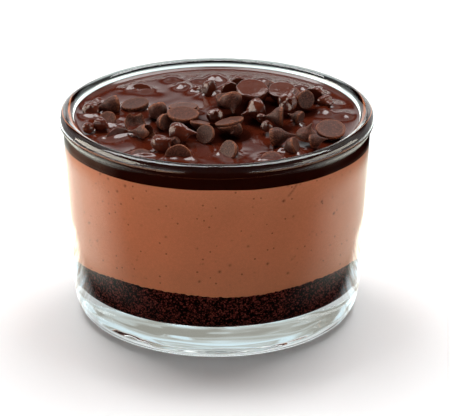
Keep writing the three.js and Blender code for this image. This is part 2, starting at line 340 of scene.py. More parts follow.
def grains(points, size, seed):
    """How far each point is from the nearest grain's middle, in grain sizes. Space is cut into
    cubes of one size, each with one middle, whose place in the cube is the fraction left of a
    large multiple of the sine of a mix of the cube's numbers."""
    cell = np.floor(points / size)
    mixing = np.array([[127.1, 311.7, 74.7], [269.5, 183.3, 246.1], [113.5, 271.9, 124.6]])
    stir, far = 43758.5453, 9.0
    nearest = np.full(points.shape[:-1], far)
    for offset in itertools.product((-1, 0, 1), repeat=3):
        corner = cell + offset
        middle = corner + np.modf(np.abs(np.sin(corner @ mixing + seed)) * stir)[0]
        nearest = np.minimum(nearest, np.linalg.norm(middle - points / size, axis=-1))
    return nearest


# Meshes


def shell(rings, first, last):
    """A closed skin over rings of points (rings, around, 3) that run from the point first to
    the point last. Neighbouring rings are joined by quads, and each end by a fan of triangles."""
    count, around, _ = rings.shape
    vertices = np.concatenate([[first], rings.reshape(-1, 3), [last]])
    here = 1 + np.arange(count * around).reshape(count, around)
    beside = np.roll(here, -1, axis=1)
    quads = np.stack([here[:-1], beside[:-1], beside[1:], here[1:]], -1).reshape(-1, 4)
    start, end = np.zeros(around, int), np.full(around, count * around + 1)
    fans = [
        np.stack([start, beside[0], here[0]], -1),
        np.stack([end, here[-1], beside[-1]], -1),
    ]
    return vertices, np.concatenate(fans), quads


def turned(profile, around):
    """Rings of a profile turned about Z: radius times the cosine and sine of the turn, and its
    height. The profile's first and last points are on the axis and stay out of the rings."""
    turn = np.linspace(0, 2 * np.pi, around, endpoint=False)
    radius, height = profile[1:-1, :1], profile[1:-1, 1:]
    return np.stack([radius * np.cos(turn), radius * np.sin(turn), height + 0 * turn], -1)


def make_piece(name, shells, finish, **values):
    """One smooth-shaded object at the origin from closed shells in millimetres. values are
    attributes, one number a vertex."""
    starts = np.cumsum([0] + [len(vertices) for vertices, _, _ in shells])
    vertices = np.concatenate([part[0] for part in shells]) * MM
    fans = np.concatenate([part[1] + start for part, start in zip(shells, starts)])
    quads = np.concatenate([part[2] + start for part, start in zip(shells, starts)])
    corners = np.concatenate([fans.ravel(), quads.ravel()]).astype(np.int32)
    sides = np.concatenate([np.full(len(fans), 3), np.full(len(quads), 4)])
    mesh = bpy.data.meshes.new(name)
    mesh.vertices.add(len(vertices))
    mesh.vertices.foreach_set("co", vertices.astype(np.float32).ravel())
    mesh.loops.add(len(corners))
    mesh.loops.foreach_set("vertex_index", corners)
    mesh.polygons.add(len(sides))
    mesh.polygons.foreach_set("loop_start", (np.cumsum(sides) - sides).astype(np.int32))
    mesh.polygons.foreach_set("use_smooth", np.ones(len(sides), bool))
    mesh.update(calc_edges=True)
    if mesh.validate():
        raise ValueError(f"{name}: its faces don't fit together")
    for key, numbers in values.items():
        mesh.attributes.new(key, "FLOAT", "POINT")
        mesh.attributes[key].data.foreach_set("value", numbers.astype(np.float32))
    mesh.materials.append(finish)
    piece = bpy.data.objects.new(name, mesh)
    bpy.context.scene.collection.objects.link(piece)
    return piece


def dress(piece, slot, *nodes):
    """The piece rides on the object, takes its finish from the slot, and stands for the nodes."""
    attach(piece, "root")
    if nodes:
        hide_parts(*nodes)


# Finishes


def arithmetic(operation, swapped=False):
    """A method that adds a Math node for a number and another value. swapped puts the other
    value first, as a reflected form needs."""

    def method(self, other):
        values = (other, self) if swapped else (self, other)
        return self.finish.add("ShaderNodeMath", {"operation": operation}, dict(enumerate(values)))

    return method


class Number:
    """A number that changes over a surface. Arithmetic on it adds Math nodes."""

    def __init__(self, finish, socket):
        self.finish, self.socket = finish, socket

    __add__ = __radd__ = arithmetic("ADD")
    __mul__ = __rmul__ = arithmetic("MULTIPLY")
    __sub__, __rsub__ = arithmetic("SUBTRACT"), arithmetic("SUBTRACT", swapped=True)
    __truediv__, __rtruediv__ = arithmetic("DIVIDE"), arithmetic("DIVIDE", swapped=True)
    __pow__, __rpow__ = arithmetic("POWER"), arithmetic("POWER", swapped=True)
    __gt__, __lt__ = arithmetic("GREATER_THAN"), arithmetic("LESS_THAN")
    most, least = arithmetic("MAXIMUM"), arithmetic("MINIMUM")

    def size(self):
        """The number without its sign."""
        return self.finish.add("ShaderNodeMath", {"operation": "ABSOLUTE"}, {0: self})

    def between(self, low, high):
        """0 below low, 1 above high, and a smooth step in between."""
        return self.finish.add(
            "ShaderNodeMapRange",
            {"interpolation_type": "SMOOTHSTEP"},
            {"Value": self, "From Min": low, "From Max": high},
        )


class Finish:
    """A material being put together. The studio's world is put together in the same way."""

    def __init__(self, material, coordinates="Object", scale=1 / MM):
        """place becomes that output of a Texture Coordinate node, times the scale."""
        material.use_nodes = True
        self.material, self.tree = material, material.node_tree
        self.tree.nodes.clear()
        self.place = self.scale(self.add("ShaderNodeTexCoord", output=coordinates), scale)

    def end(self, shader, output="ShaderNodeOutputMaterial"):
        """Joins the shader to an output node. Gives the material."""
        out = self.tree.nodes.new(output)
        self.tree.links.new(shader.socket, out.inputs["Surface"])
        return self.material

    def add(self, kind, settings=None, inputs=None, output=0):
        """Adds a node: its settings first, then the values or links of its sockets. Gives the
        output asked for."""
        node = self.tree.nodes.new(kind)
        for key, value in (settings or {}).items():
            setattr(node, key, value)
        for key, value in (inputs or {}).items():
            if isinstance(value, Number):
                self.tree.links.new(value.socket, node.inputs[key])
            else:
                node.inputs[key].default_value = value
        return Number(self, node.outputs[output])

    def noise(self, wavelength, detail=2.0, roughness=0.5, place=None):
        """Cloudy noise from 0 to 1 with lumps of about that many millimetres."""
        inputs = {"Scale": 1 / wavelength, "Detail": detail, "Roughness": roughness}
        return self.add("ShaderNodeTexNoise", None, {"Vector": place or self.place, **inputs})

    def cells(self, size, output="Distance"):
        """Distance to the nearest of scattered points, in cells, or that cell's own colour."""
        inputs = {"Vector": self.place, "Scale": 1 / size}
        return self.add("ShaderNodeTexVoronoi", None, inputs, output)

    def attribute(self, name):
        """The number that make_piece gave to each vertex under that name."""
        return self.add("ShaderNodeAttribute", {"attribute_name": name}, output="Fac")

    def part(self, colour, which):
        """One of a colour's or a place's three numbers."""
        return self.add("ShaderNodeSeparateXYZ", None, {0: colour}, which)

    def scale(self, vector, factor):
        """A place or a colour times one number."""
        inputs = {0: vector, "Scale": factor}
        return self.add("ShaderNodeVectorMath", {"operation": "SCALE"}, inputs)

    def stretch(self, place, factors):
        """A place times a number for each axis."""
        return self.add("ShaderNodeVectorMath", {"operation": "MULTIPLY"}, {0: place, 1: factors})

    def mix(self, factor, first, second):
        """first where factor is 0 and second where it is 1. The node's colours are its sockets
        6 and 7."""
        first, second = (v if isinstance(v, Number) else rgba(v) for v in (first, second))
        inputs = {0: factor, 6: first, 7: second}
        return self.add("ShaderNodeMix", {"data_type": "RGBA"}, inputs, 2)

    def bump(self, height, distance, strength):
        """A normal tilted by a height; distance is the height's scale in millimetres."""
        inputs = {"Height": height, "Distance": distance * MM, "Strength": strength}
        return self.add("ShaderNodeBump", None, inputs)

    def surface(self, **inputs):
        """Ends the material in one Principled shader. Underscores in names stand for spaces."""
        named = {key.replace("_", " "): value for key, value in inputs.items()}
        return self.end(self.add("ShaderNodeBsdfPrincipled", None, named))


def new_finish(name):
    """A new material of that name, with nothing in it yet."""
    return Finish(bpy.data.materials.new(name))


def rgba(shade):
    """The colour made opaque."""
    return (*shade, 1.0)


def glass_finish(pot):
    """Clear pressed glass with a faint cool tint."""
    finish = new_finish("clear glass")
    swirl = finish.noise(9.0, 1.0)
    return finish.surface(
        Base_Color=rgba(pot.tint),
        Roughness=0.0,
        IOR=1.5,
        Transmission_Weight=1.0,
        Normal=finish.bump(swirl, 0.03, 0.2),
    )


def crumb_finish(layers):
    """Dark cake crumb: grains of several reds and browns, black between them."""
    finish = new_finish("cake crumb")
    tone = finish.part(finish.cells(0.38, "Color"), "X")
    gap = finish.cells(0.38)
    fine = finish.noise(0.22, 3.0, 0.7)
    # Painted shade: each grain darkens towards its border, near black between the crumbs.
    light = (tone * 0.8 + fine * 1.2 - gap * 0.9 - 0.42).between(0.0, 0.8)
    shade = finish.mix(light, layers.crumb_dark, layers.crumb_light)
    relief = fine * 0.6 - gap * 0.8
    return finish.surface(
        Base_Color=shade,
        Roughness=0.9,
        Specular_IOR_Level=0.0,
        Normal=finish.bump(relief, 0.5, 0.9),
    )


def mousse_finish(layers):
    """Milk chocolate mousse: a matt fine-pored foam with dark specks and cloudy shading."""
    finish = new_finish("milk chocolate mousse")
    cloud = finish.noise(11.0, 2.0)
    grain = finish.noise(0.6, 3.0, 0.7)
    # Painted light: the mousse grows lighter towards the bottom of its side.
    painted_light_low = 1.0 - finish.part(finish.place, "Z").between(18.0, 46.0)
    level = 0.76 + cloud * 0.18 + grain * 0.30 + painted_light_low * 0.10
    lit = finish.scale(layers.mousse_colour, level)
    chance = finish.part(finish.cells(1.5, "Color"), "X")
    speck = (0.20 - finish.cells(1.5)).between(0.0, 0.08) * (chance > 0.72)
    # Painted shade: the bubbles' pores take the speck colour; the smear marks are sauce.
    pore = finish.attribute("pore")
    marks = (speck * 0.55).most(pore)
    relief = grain * 0.4 - marks
    return finish.surface(
        Base_Color=finish.mix(marks, lit, layers.speck_and_pore_shade),
        Roughness=0.6,
        Specular_IOR_Level=0.0,
        Normal=finish.bump(relief, 0.08, 0.5),
    )


def sauce_finish(sauce):
    """Dark chocolate sauce: a glossy skin, redder where it lies thin over lumps."""
    finish = new_finish("dark chocolate sauce")
    cloud = finish.noise(5.0, 3.0, 0.55)
    thin = (cloud.between(0.45, 0.75) * 0.6).most(finish.attribute("thin"))
    shade = finish.mix(thin, sauce.sauce_colour, sauce.sauce_thin)
    # Painted shade: darker and without gloss in the gaps between heaped chips.
    gap = finish.attribute("gap")
    return finish.surface(
        Base_Color=finish.mix(gap, shade, sauce.sauce_painted_shade),
        Roughness=0.6,
        Specular_IOR_Level=0.0,
        Coat_Weight=1.0 - gap,
        Coat_Roughness=0.12,
        Coat_IOR=1.45,
    )


def chip_finish(sauce):
    """Dry chocolate: matt with a fine bloom of pale dots, rubbed edges and a wet foot."""
    finish = new_finish("chocolate chips")
    wet = 1.0 - (finish.attribute("height") + finish.noise(1.2) * 0.8 - 0.4).between(0.2, 0.9)
    bloom = finish.noise(0.30, 3.0, 0.75)
    dots = (0.24 - finish.cells(0.5)).between(0.0, 0.12)
    tone = finish.attribute("tone")
    # edge: the base's rim, lighter from wear and from a painted highlight.
    edge = finish.attribute("edge")
    level = 0.12 + bloom.between(0.34, 0.68) * 0.95 + dots * 1.8 + tone * 0.3
    plain = finish.mix(edge * bloom * 1.3, sauce.chip_colour, sauce.chip_rim_wear_and_highlight)
    lit = finish.scale(plain, level)
    relief = bloom * 0.5 + finish.noise(1.1, 2.0) * 0.8
    return finish.surface(
        Base_Color=finish.mix(wet * 0.85, lit, sauce.sauce_colour),
        Roughness=0.45 - wet * 0.28,
        Specular_IOR_Level=0.12,
        Normal=finish.bump(relief, 0.14, 0.8),
    )


def coated_finish(sauce):
    """Chocolate chips under sauce: a wet uneven skin."""
    finish = new_finish("coated chips")
    cloud = finish.noise(1.6, 3.0, 0.6)
    lit = finish.mix(cloud.between(0.4, 0.75), sauce.coat_colour, sauce.sauce_thin)
    relief = finish.noise(1.2, 2.0, 0.55)
    return finish.surface(
        Base_Color=lit,
        Roughness=0.12,
        Specular_IOR_Level=0.30,
        Normal=finish.bump(relief, 0.22, 0.7),
    )


# Shapes


def pot_profile(pot):
    """The glass's outline, from the axis underneath, up the outside, over the rolled rim and
    down the inside to the axis: a flat hollow whose edge comes down as a cosine, then arcs
    joined by straight runs, with the corners softened."""
    rim, top, bead, foot, heel, heel_up, punt, hollow, floor, corner, low = millimetres(
        pot, "rim_radius", "rim_top", "bead_radius", "foot_radius", "heel_radius", "heel_height",
        "punt_radius", "punt_depth", "floor_height", "floor_corner", "inner_low_radius",
    )
    slope, softness = 4.0, 0.22
    under = np.concatenate([[0], np.linspace(punt - slope, punt, 32)])
    turn = np.pi * share((under - punt + slope) / slope)
    outline = [
        np.stack([under, hollow * (0.5 + 0.5 * np.cos(turn))], 1),
        arc(foot, heel_up, heel - foot, heel_up, -90, 0),
        arc(rim - bead, top - bead, bead, bead, -60, 180),
        arc(low - corner, floor + corner, corner, corner, 0, -90),
        [[0, floor]],
    ]
    return soften(np.concatenate(outline), softness)


def inner_radius(pot, height):
    """Radius of the glass's inner wall: a straight slope between its low and top radii."""
    rim, top, bead, low, floor, corner = millimetres(
        pot, "rim_radius", "rim_top", "bead_radius", "inner_low_radius", "floor_height",
        "floor_corner",
    )
    start = floor + corner
    return low + (rim - 2 * bead - low) * share((height - start) / (top - bead - start))


def around_edge(x, y, table):
    """The table's height at each point's angle from the front, in straight steps between the
    table's angles."""
    angles, heights = np.array(table).T
    return np.interp(np.degrees(np.arctan2(x, -y)), angles, heights, period=360)


def crumb_relief(x, y, low):
    """Low lumps of the crumb's top, a product of two sine waves that fades towards the edge,
    and its edge's own rise and fall, which fades towards the middle."""
    rise = 0.35
    lumps = rise * np.sin(0.42 * x + 1.3) * np.sin(0.38 * y + 0.4)
    out = share(np.hypot(x, y) / low)
    return around_edge(x, y, CRUMB_EDGE) * out**2 + lumps * (1 - out)


def mousse_relief(x, y, wide):
    """The rise and fall of the mousse's edge, fading towards the middle."""
    return around_edge(x, y, MOUSSE_EDGE) * share(np.hypot(x, y) / wide) ** 2


def sauce_height(sauce, wide, x, y):
    """Height of the open sauce: its level, a film that falls away exponentially from the glass,
    bell-shaped mounds under heaped chips, and lumps over chips that it covers, which are bells
    with a steeper power of the distance."""
    edge, level, film = millimetres(sauce, "edge", "level", "film")
    height = level + (edge - level) * np.exp(-np.maximum(wide - np.hypot(x, y), 0) / film)
    for humps, power in ((MOUNDS, 2), (LUMPS, 2.4)):
        for middle_x, middle_y, rise, half in humps:
            away = np.hypot(x - middle_x, y - middle_y) / half
            height = height + rise * np.exp(-(away**power))
    return height


def chip_outline(dish):
    """Half outline of a chip as fractions of its base radius and its length: a base dished by
    that much, a rounded edge, and a side that bellies out and then draws in to a nib, which is
    a Bezier curve between four points."""
    t = np.linspace(0, 1, 40)[:, None]
    base = np.concatenate([0.94 * t, dish * (1 - t**2)], 1)
    edge = arc(0.94, 0.06, 0.06, 0.06, -90, 10, 16)
    ends = [np.array(p) for p in ((0.999, 0.07), (0.99, 0.58), (0.30, 0.42), (0.09, 0.96))]
    side = (
        (1 - t) ** 3 * ends[0]
        + 3 * (1 - t) ** 2 * t * ends[1]
        + 3 * (1 - t) * t**2 * ends[2]
        + t**3 * ends[3]
    )
    nib = arc(0, 0.955, 0.09, 0.045, 8, 90, 8)
    return spread(np.concatenate([base, edge[1:], side[1:], nib]), CHIP_STEPS, 0.25)


def chip_shell(row, edge, number, lumps, dish):
    """One chip: its outline turned about its own axis, pushed outwards by a coarse and a fine
    drift field, made slightly oval, bent over by curl times the cube of the way to the tip, and
    then laid down along its heading and climb. The edge of a chip with a deep dish is ragged.
    Gives the skin, a bell around the rubbed edge of the base, and the chip's own tone."""
    x, y, lift, heading, climb, diameter, tall, curl = row
    draw = np.random.default_rng(number)
    outline = chip_outline(dish) * (diameter / 2, tall)
    rings = turned(outline, CHIP_AROUND)
    ends = np.array([[0, 0, outline[0, 1]], [0, 0, outline[-1, 1]]])
    points = np.concatenate([ends[:1], rings.reshape(-1, 3), ends[1:]])
    out = points / (np.linalg.norm(points - (0, 0, tall * 0.3), axis=1, keepdims=True) + 0.3)
    swell = lumps * drift(points, 3.2, number) + 0.4 * lumps * drift(points, 1.4, number + 500)
    points = points + out * swell[:, None]
    oval = 1 + draw.uniform(-0.04, 0.04)
    points = points * (oval, 2 - oval, 1)
    along, wide = points[:, 2] / tall, np.hypot(points[:, 0], points[:, 1]) / (diameter / 2)
    ragged = max(dish, 0) * wide**4 * np.exp(-((along / 0.3) ** 2))
    points[:, 2] += 0.45 * tall * ragged * (drift(points[:, :2], 3.4, number + 900) - 0.3)
    points = points @ rotation("Z", draw.uniform(0, 360))
    points[:, 0] += curl * tall * along**3
    points = points @ rotation("Y", 90 - climb) @ rotation("Z", heading) + (x, y, edge + lift)
    rings = points[1:-1].reshape(rings.shape)
    # A bell around the base's rim, which the finish paints lighter: wear and a painted highlight.
    rim_wear_and_painted_highlight = np.exp(-(((along - 0.06) / 0.07) ** 2)) * share((wide - 0.78) / 0.2)
    return shell(rings, points[0], points[-1]), rim_wear_and_painted_highlight, np.full(len(points), draw.uniform())


def rotation(axis, degrees):
    """Turns row vectors about an axis."""
    angle = math.radians(degrees)
    return np.array(Euler([angle * (axis == name) for name in "XYZ"]).to_matrix()).T


def crossings(skin, level):
    """Where a chip's mesh lines pass through the sauce: on each line between two neighbours on
    opposite sides of it, the point where their height above the sauce would be nothing."""
    tiny = 1e-12
    grid = skin[0][1:-1].reshape(CHIP_STEPS - 2, CHIP_AROUND, 3)
    above = grid[..., 2] - level(grid[..., 0], grid[..., 1])
    found = []
    for axis, rows in ((0, slice(-1)), (1, slice(None))):
        beside, over = (np.roll(field, -1, axis)[rows] for field in (grid, above))
        change = above[rows] * over < 0
        way = (above[rows] / (above[rows] - over + tiny))[change][:, None]
        found.append(grid[rows][change] * (1 - way) + beside[change] * way)
    return np.concatenate(found)[:, :2]


# Operators


class MoussePotBuildGlass(bpy.types.Operator):
    """Turns the pot's outline about its axis in clear glass"""

    bl_idname = "mousse_pot.build_glass"
    bl_label = "Glass pot"

    def execute(self, context):
        pot = context.scene.mousse_pot_glass
        profile = spread(pot_profile(pot), POT_STEPS)
        rings = turned(profile, POT_AROUND)
        self.wander(pot, rings)
        ends = [(0, 0, profile[0, 1]), (0, 0, profile[-1, 1])]
        piece = make_piece("glass_pot_clear", [shell(rings, *ends)], glass_finish(pot))
        dress(piece, "pot_glass", "glass_pot")
        return {"FINISHED"}

    @staticmethod
    def wander(pot, rings):
        """Moves the rings as pressed glass wanders from true. The radius swells by a coarse and
        a fine drift field. The hollow underneath ripples up and down and the heel in and out, by
        drift fields over the turn and the radius or the height, and both ripples fade out at
        their borders. wall and heel are the radii where swell and ripple are at full size."""
        wave, ripple, punt = millimetres(pot, "waviness", "ripple", "punt_radius")
        wall, heel = 40.0, 36.0
        stretched = rings * (1, 1, 0.35)
        swell = wave * drift(stretched, 14.0, 3) + 0.3 * wave * drift(stretched, 5.0, 4)
        rings[..., :2] *= 1 + (swell / wall)[..., None]
        x, y, z = np.moveaxis(rings, -1, 0)
        away = np.hypot(x, y)
        streak = np.stack([away, 5 * x / away, 5 * y / away], -1)
        under = (z < 2.0) * share((punt + 3 - away) / 6) * share(away / 4)
        up = drift(streak, 4.5, 21) + 0.35 * drift(streak, 1.9, 22)
        z += ripple * np.maximum(up, -1.5) * under
        streak[..., 0] = z
        low = (away > 30) * share((8 - z) / 3) * share((z - 0.3) / 1.5)
        out = 2.0 * ripple * drift(streak, 2.6, 23) * low
        rings[..., :2] *= 1 + (out / heel)[..., None]


class MoussePotBuildCrumb(bpy.types.Operator):
    """Fills the foot of the pot with cake crumb"""

    bl_idname = "mousse_pot.build_crumb"
    bl_label = "Cake crumb"

    def execute(self, context):
        pot, layers = context.scene.mousse_pot_glass, context.scene.mousse_pot_layers
        floor, corner, low = millimetres(pot, "floor_height", "floor_corner", "inner_low_radius")
        top, reach, grain, depth = millimetres(
            layers, "crumb_top", "reach", "grain", "grain_depth"
        )
        outer = inner_radius(pot, top)
        outline = [
            [[0, floor + 0.3]],
            arc(low - corner, floor + corner, corner, corner, -84, 0),
            [[outer, top], [0, top]],
        ]
        profile = spread(soften(np.concatenate(outline), 0.1), CRUMB_STEPS, 1.0)
        rings = turned(profile, CRUMB_AROUND)
        x, y, z = np.moveaxis(rings, -1, 0)
        # Grains stand out of the side as domes, and stir the top, which has its own lumps.
        side = share(z - floor - 0.4) * share(np.hypot(x, y) - 28)
        rough = grains(rings, grain, 7.0)
        push = (reach + depth * (1 - share(rough) ** 2)) * side
        out = rings[..., :2] / np.maximum(np.hypot(x, y), 1e-6)[..., None]
        rings[..., :2] += out * push[..., None]
        lid = share((z - floor) / (top - floor)) ** 6
        z += lid * (crumb_relief(x, y, low) + 0.5 * (0.6 - rough))
        ends = [(0, 0, profile[0, 1]), (0, 0, top + crumb_relief(0, 0, low))]
        piece = make_piece("cake_crumb", [shell(rings, *ends)], crumb_finish(layers))
        dress(piece, "cake_crumb", "crumb_base")
        return {"FINISHED"}


class MoussePotBuildMousse(bpy.types.Operator):
    """Lays the mousse over the crumb, up against the glass, with its pores"""

    bl_idname = "mousse_pot.build_mousse"
    bl_label = "Mousse"

    def execute(self, context):
        pot, layers = context.scene.mousse_pot_glass, context.scene.mousse_pot_layers
        low = pot.inner_low_radius / MM
        bottom, top, reach = millimetres(layers, "crumb_top", "mousse_top", "reach")
        low_edge, high_edge = (inner_radius(pot, h) + reach for h in (bottom, top))
        sunk, pore_depth = bottom - 0.4, 0.11
        corners = [(0, sunk), (low_edge, sunk), (high_edge, top), (0, top)]
        rings = turned(legs(corners, MOUSSE_STEPS), MOUSSE_AROUND)
        x, y, z = np.moveaxis(rings, -1, 0)
        # The bottom follows the crumb and the top the mousse's own edge, by a steep power of
        # the height, so that the side between them stays plain.
        up = share((z - bottom) / (top - bottom))
        z += (1 - up) ** 8 * crumb_relief(x, y, low)
        z += up**8 * mousse_relief(x, y, high_edge)
        # The pores dent the side, and the finish colours them dark as painted shade.
        pore = self.pores(rings, high_edge)
        rings[..., :2] *= 1 - (pore_depth * pore / high_edge)[..., None]
        ends = [(0, 0, sunk + crumb_relief(0, 0, low)), (0, 0, top)]
        marks = np.concatenate([[0], pore.ravel(), [0]])
        skin, finish = shell(rings, *ends), mousse_finish(layers)
        piece = make_piece("chocolate_mousse", [skin], finish, pore=marks)
        dress(piece, "mousse", "mousse")
        return {"FINISHED"}

    @staticmethod
    def pores(rings, radius):
        """Small hollows where bubbles met the glass: bells at named and at seeded places on the
        side. Each has an angle from the front, a height, a width and a depth, and low and high
        are the limits of the seeded ones. The top and the underside have none."""
        draw, count = np.random.default_rng(12), 150
        low, high = (-180, 19.5, 0.12, 0.12), (180, 45.0, 0.26, 0.5)
        seeded = draw.uniform(low, high, (count, 4))
        x, y, height = np.moveaxis(rings, -1, 0)
        angle = np.degrees(np.arctan2(x, -y))
        pore = np.zeros(angle.shape)
        for middle, up, size, depth in [*MOUSSE_MARKS, *seeded]:
            across = np.radians(np.mod(angle - middle + 180, 360) - 180) * radius
            pore = np.maximum(pore, depth * np.exp(-(across**2 + (height - up) ** 2) / size**2))
        return pore * (np.hypot(x, y) > radius - 2.5)


class MoussePotBuildSauce(bpy.types.Operator):
    """Pours the dark sauce and lets it climb the glass and the feet of the chips"""

    bl_idname = "mousse_pot.build_sauce"
    bl_label = "Sauce"

    def execute(self, context):
        pot, layers = context.scene.mousse_pot_glass, context.scene.mousse_pot_layers
        sauce = context.scene.mousse_pot_sauce
        edge, sunk, overlap = sauce.edge / MM, 0.3, 0.05
        under, reach = millimetres(layers, "mousse_top", "reach")
        wide = inner_radius(pot, edge)
        low_edge = inner_radius(pot, under) + reach + overlap
        bottom = under - sunk
        outline = np.array([[0, bottom], [low_edge, bottom], [wide + reach, edge]])
        side = spread(soften(outline, 0.05), SAUCE_STEPS[0], 1.0)
        shares = np.linspace(1, 0, SAUCE_STEPS[1])[1:]
        top = np.stack([(wide + reach) * shares, np.full(len(shares), edge)], 1)
        rings = turned(np.concatenate([side, top]), SAUCE_AROUND)
        x, y, z = np.moveaxis(rings, -1, 0)
        first = len(side) - 1  # The first ring of the open top
        open_x, open_y = x[first:], y[first:]
        z[:first] += self.wave(x[:first], y[:first], z[:first], under, wide)
        climb, thin = self.feet(sauce, wide, open_x, open_y)
        # How deep in the gaps between heaped chips, where the finish paints shade; it also lowers
        # the climb.
        gap = self.gaps(open_x, open_y)
        faint = 0.003 * drift(np.stack([open_x, open_y], -1), 4.0, 31)
        z[first:] = sauce_height(sauce, wide, open_x, open_y) + (climb * (1 - 0.85 * gap) + faint)
        ends = [(0, 0, bottom), (0, 0, z[-1].mean())]
        below = np.ones(1 + first * SAUCE_AROUND)
        piece = make_piece(
            "dark_sauce",
            [shell(rings, *ends)],
            sauce_finish(sauce),
            thin=np.concatenate([0 * below, thin.ravel(), [0]]),
            gap=np.concatenate([below, gap.ravel(), [0]]),
        )
        dress(piece, "dark_sauce", "chocolate_sauce")
        return {"FINISHED"}

    @staticmethod
    def wave(x, y, z, under, wide):
        """The sauce's underside follows the mousse, and the wave fades up its side."""
        return mousse_relief(x, y, wide) * share(1 - (z - under) / 1.5)

    @staticmethod
    def gaps(x, y):
        """How deep in the gaps between heaped chips a point is: a sum over the chips of a bell
        somewhat wider than the chip, which counts for more the higher the chip lies, from low to
        high. The depth is 0 where the sum is at start and 1 where it is at full."""
        # The sauce's finish paints shade with this depth.
        low, high, start, full = 0.8, 3.0, 0.12, 0.52
        total = np.zeros(x.shape)
        for row in DRY_CHIPS + HOLLOW_CHIPS + COATED_CHIPS:
            middle_x, middle_y, lift, _, _, diameter, _, _ = row
            away = np.hypot(x - middle_x, y - middle_y) / (0.7 * diameter)
            total += np.exp(-(away**2)) * share((lift - low) / (high - low))
        return share((total - start) / (full - start))

    @staticmethod
    def feet(sauce, wide, x, y):
        """Sauce drawn up at the feet of the chips: near each chip it rises by a height that
        falls off exponentially, with the power 1.3 of the distance from the line where the chip
        leaves the sauce, and that a drift field makes uneven. Where two meet, the fourth root of
        the sum of their fourth powers joins them softly."""
        climb, thin = np.zeros(x.shape), np.zeros(x.shape)
        edge, lumps, dish = sauce.edge / MM, 0.08, 0.015
        level = functools.partial(sauce_height, sauce, wide)
        # Each row with the height of the sauce at its foot, and the distance that it reaches
        rows = [(row, 0.66, 1.2) for row in DRY_CHIPS + HOLLOW_CHIPS]
        rows += [(row, 0.78, 1.3) for row in COATED_CHIPS]
        for number, (row, rise, width) in enumerate(rows):
            skin, _, _ = chip_shell(row, edge, number, lumps, dish)
            line = crossings(skin, level)
            if len(line) == 0:
                continue
            near = np.hypot(x - row[0], y - row[1]) < row[5] / 2 + row[6] + 5
            places = np.stack([x[near], y[near]], -1)
            gap = places[:, None] - line[None]
            away = np.sqrt((gap**2).sum(-1).min(1))
            uneven = 1 + 0.4 * drift(places, 4.5, 700 + number)
            climb[near] += (rise * uneven * np.exp(-((away / width) ** 1.3))) ** 4
            thin[near] = np.maximum(thin[near], 0.7 * np.exp(-away / width))
        return climb**0.25, thin


class MoussePotBuildChips(bpy.types.Operator):
    """Scatters the dry chips and the chips under sauce"""

    bl_idname = "mousse_pot.build_chips"
    bl_label = "Chocolate chips"

    def execute(self, context):
        pot, sauce = context.scene.mousse_pot_glass, context.scene.mousse_pot_sauce
        edge = sauce.edge / MM
        wide = inner_radius(pot, edge)
        # Each row with the height of its lumps and the depth of its dish
        dry = [(row, 0.07, 0.015) for row in DRY_CHIPS]
        dry += [(row, 0.10, 0.5) for row in HOLLOW_CHIPS]
        coated = [(row, 0.14, -0.05) for row in COATED_CHIPS]
        kinds = [
            ("chocolate_chips", dry, 0, chip_finish(sauce)),
            ("coated_chips", coated, len(dry), coated_finish(sauce)),
        ]
        for name, rows, start, finish in kinds:
            made = [
                chip_shell(row, edge, number, lumps, dish)
                for number, (row, lumps, dish) in enumerate(rows, start)
            ]
            skins, rim_wear_and_painted_highlight, tones = zip(*made)
            points = np.concatenate([vertices for vertices, _, _ in skins])
            above = points[:, 2] - sauce_height(sauce, wide, points[:, 0], points[:, 1])
            rim_wear_and_painted_highlight, tones = np.concatenate(rim_wear_and_painted_highlight), np.concatenate(tones)
            piece = make_piece(name, skins, finish, height=above, edge=rim_wear_and_painted_highlight, tone=tones)
            dress(piece, "dark_sauce")
        return {"FINISHED"}


